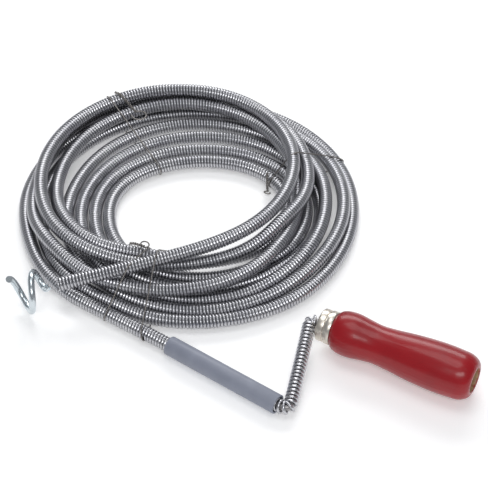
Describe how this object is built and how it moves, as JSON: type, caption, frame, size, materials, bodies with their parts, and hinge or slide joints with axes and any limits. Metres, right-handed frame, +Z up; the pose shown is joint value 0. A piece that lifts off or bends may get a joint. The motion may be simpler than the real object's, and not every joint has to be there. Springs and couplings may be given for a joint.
{
  "type": "hand-cranked drain snake",
  "caption": "Hand-cranked drain snake: coiled close-wound steel spring cable with a corkscrew hook, guide sleeve, bent crank and red wooden handle.",
  "frame": {"origin": "on the floor, under the middle of the box round the crank, sleeve and handle", "axes": "+X runs along the guide sleeve from the coil towards the crank, +Z is up from the floor that the coil, sleeve and handle lie on"},
  "size_m": [0.3441, 0.2493, 0.0314],
  "materials": {
    "spring_steel": "polished",
    "rod_steel": "satin",
    "zinc_plate": "gloss",
    "nickel_plate": "polished",
    "tie_wire": "satin",
    "grey_plastic": "satin",
    "red_lacquer": "gloss"
  },
  "bodies": {
    "cable": {"cable_coil": "spring_steel", "cable_lead": "spring_steel", "cable_tail": "spring_steel", "tie_back": "tie_wire", "tie_right": "tie_wire", "tie_front_left": "tie_wire", "tie_front_right": "tie_wire"},
    "hook": {"hook_tip": "zinc_plate"},
    "sleeve": {"guide_sleeve": "grey_plastic"},
    "crank": {"crank_rod": "rod_steel", "arm_spring": "spring_steel", "cable_shank": "spring_steel", "rear_washer": "zinc_plate"},
    "handle": {"handle_grip": "red_lacquer", "ferrule": "nickel_plate"}
  },
  "joints": [
    {"name": "crank_turn", "type": "hinge", "parent": "cable", "child": "crank", "pos_m": [-0.0444, -0.041, 0.006], "axis": [1, 0, 0], "continuous": true},
    {"name": "sleeve_spin", "type": "hinge", "parent": "cable", "child": "sleeve", "pos_m": [-0.0444, -0.041, 0.006], "axis": [1, 0, 0], "continuous": true},
    {"name": "handle_spin", "type": "hinge", "parent": "crank", "child": "handle", "pos_m": [-0.0229, 0.0192, 0.015], "axis": [0.9882, 0.153, 0], "continuous": true},
    {"name": "hook_spin", "type": "hinge", "parent": "cable", "child": "hook", "pos_m": [-0.1655, -0.0546, 0.0196], "axis": [-0.6201, -0.7701, -0.15], "continuous": true}
  ],
  "couplings": [
    {"joint": "hook_spin", "follows": "crank_turn", "ratio": -1}
  ]
}
